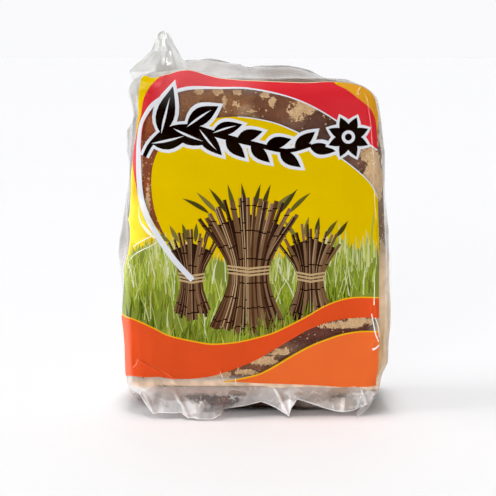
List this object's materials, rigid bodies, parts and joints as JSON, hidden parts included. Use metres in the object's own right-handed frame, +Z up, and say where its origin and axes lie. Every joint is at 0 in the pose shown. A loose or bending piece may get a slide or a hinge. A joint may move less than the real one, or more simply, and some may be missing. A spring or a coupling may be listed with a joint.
{
  "type": "block of panela sugar in a clear bag",
  "caption": "Rounded upright block of set cane sugar shut in a clear film bag, with a crumpled ear on top and loose end seals.",
  "frame": {"origin": "middle of the flat foot, on the surface that the pack stands on", "axes": "+Z up along the pack's long side, front faces -Y, +X to the right as the front is seen"},
  "size_m": [0.096, 0.0518, 0.1342],
  "materials": {
    "sealed_bag": "clear glossy film over set brown cane sugar"
  },
  "bodies": {
    "root": {"sealed_bag": "sealed_bag"}
  },
  "joints": []
}
